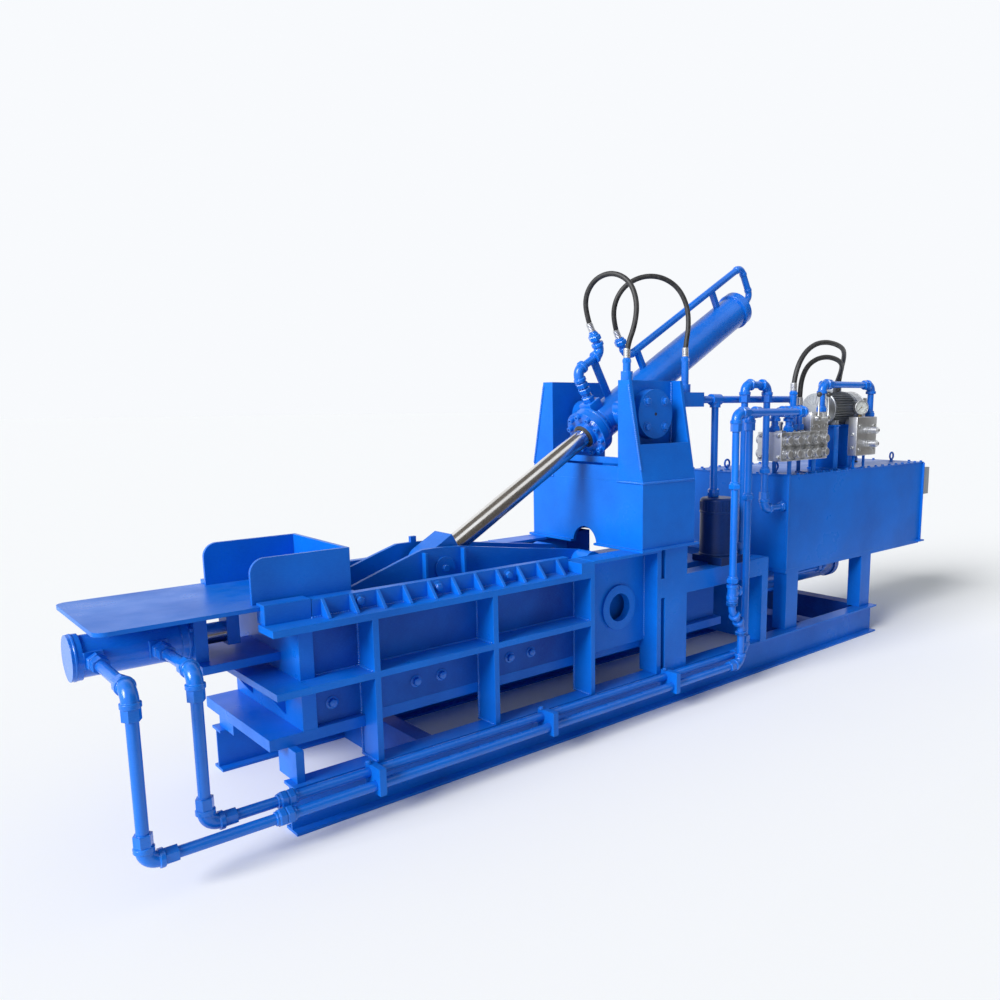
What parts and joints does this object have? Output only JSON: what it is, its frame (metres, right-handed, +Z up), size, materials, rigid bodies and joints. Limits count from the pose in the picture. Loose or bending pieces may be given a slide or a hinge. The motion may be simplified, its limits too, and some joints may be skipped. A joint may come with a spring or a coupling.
{
  "type": "recycling baler",
  "caption": "Hydraulic scrap baling press: hinged lid with tilting cylinder on a tower, lid lock, long ram, ribbed chamber and oil tank on one base.",
  "frame": {"origin": "on the floor under the middle of the base's front cross-member", "axes": "+X along the press from the lid lock to the oil tank, -Y is the side with the pipes, +Z up"},
  "size_m": [5.83, 1.04, 2.5207],
  "materials": {
    "blue_paint": "gloss",
    "dark_paint": "satin",
    "chrome_rod": "polished",
    "bare_steel": "satin",
    "cast_iron": "satin",
    "hose_rubber": "matte",
    "brass": "satin",
    "grey_plastic": "matte"
  },
  "bodies": {
    "frame": {"base_beam_far": "blue_paint", "base_beam_near": "blue_paint", "base_crosses": "blue_paint", "chamber_floor": "blue_paint", "cylinder_frame": "blue_paint", "end_wall": "blue_paint", "frame_bolts": "bare_steel", "hinge_plate_far": "blue_paint", "hinge_plate_near": "blue_paint", "hose_head": "hose_rubber", "hose_posts": "blue_paint", "hose_tail": "hose_rubber", "hose_tank_inner": "hose_rubber", "hose_tank_outer": "hose_rubber", "lid_shaft": "bare_steel", "limit_box": "grey_plastic", "line_lock_inner": "blue_paint", "line_lock_outer": "blue_paint", "line_tank": "blue_paint", "line_tower": "blue_paint", "lock_cylinder": "blue_paint", "lock_guide_far": "blue_paint", "lock_guide_near": "blue_paint", "lock_mount": "blue_paint", "main_cylinder": "blue_paint", "oil_filter": "dark_paint", "oil_tank": "blue_paint", "pipe_clamps": "blue_paint", "pressure_gauge": "brass", "pump_manifold": "cast_iron", "pump_motor": "cast_iron", "rib_frame_far": "blue_paint", "rib_frame_near": "blue_paint", "shear_bar_far": "blue_paint", "shear_bar_near": "blue_paint", "side_wall_far": "blue_paint", "side_wall_near": "blue_paint", "tank_stand": "blue_paint", "tower_base": "blue_paint", "tower_cross": "blue_paint", "tower_side_far": "blue_paint", "tower_side_near": "blue_paint", "valve_bank": "cast_iron"},
    "lock": {"lock_tray": "blue_paint", "lock_guard": "blue_paint", "lock_rod": "chrome_rod"},
    "lid": {"lid_plate": "blue_paint", "lid_web_near": "blue_paint", "lid_web_far": "blue_paint", "lid_pin": "bare_steel"},
    "cylinder_rod": {"lid_rod_head": "blue_paint", "lid_rod": "chrome_rod"},
    "cylinder_barrel": {"lid_barrel": "blue_paint", "lid_gland": "blue_paint", "lid_lines": "blue_paint"},
    "ram": {"ram": "blue_paint", "main_rod": "chrome_rod"},
    "lever_1": {"valve_lever_1": "bare_steel"},
    "lever_2": {"valve_lever_2": "bare_steel"}
  },
  "joints": [
    {"name": "lock_slide", "type": "slide", "parent": "frame", "child": "lock", "axis": [1, 0, 0], "range_m": [-0.09, 0]},
    {"name": "lid_hinge", "type": "hinge", "parent": "frame", "child": "lid", "pos_m": [1.13533, 0, 0.825], "axis": [0, 1, 0], "range_deg": [0, 60]},
    {"name": "rod_pin", "type": "hinge", "parent": "lid", "child": "cylinder_rod", "pos_m": [0.28, 0, 0.898], "axis": [0, 1, 0], "range_deg": [-30, 0]},
    {"name": "barrel_trunnion", "type": "hinge", "parent": "frame", "child": "cylinder_barrel", "pos_m": [1.496, 0, 1.604], "axis": [0, 1, 0], "range_deg": [0, 30], "deforming": ["hose_head", "hose_tail"]},
    {"name": "ram_slide", "type": "slide", "parent": "frame", "child": "ram", "axis": [-1, 0, 0], "range_m": [0, 1.23]},
    {"name": "lever_1_tilt", "type": "hinge", "parent": "frame", "child": "lever_1", "pos_m": [2.889, -0.4583, 1.56], "axis": [0, 1, 0], "range_deg": [-15, 15]},
    {"name": "lever_2_tilt", "type": "hinge", "parent": "frame", "child": "lever_2", "pos_m": [2.999, -0.4583, 1.56], "axis": [0, 1, 0], "range_deg": [-15, 15]}
  ],
  "couplings": [
    {"joint": "rod_pin", "follows": "lid_hinge", "ratio": -0.5},
    {"joint": "barrel_trunnion", "follows": "lid_hinge", "ratio": 0.5}
  ]
}
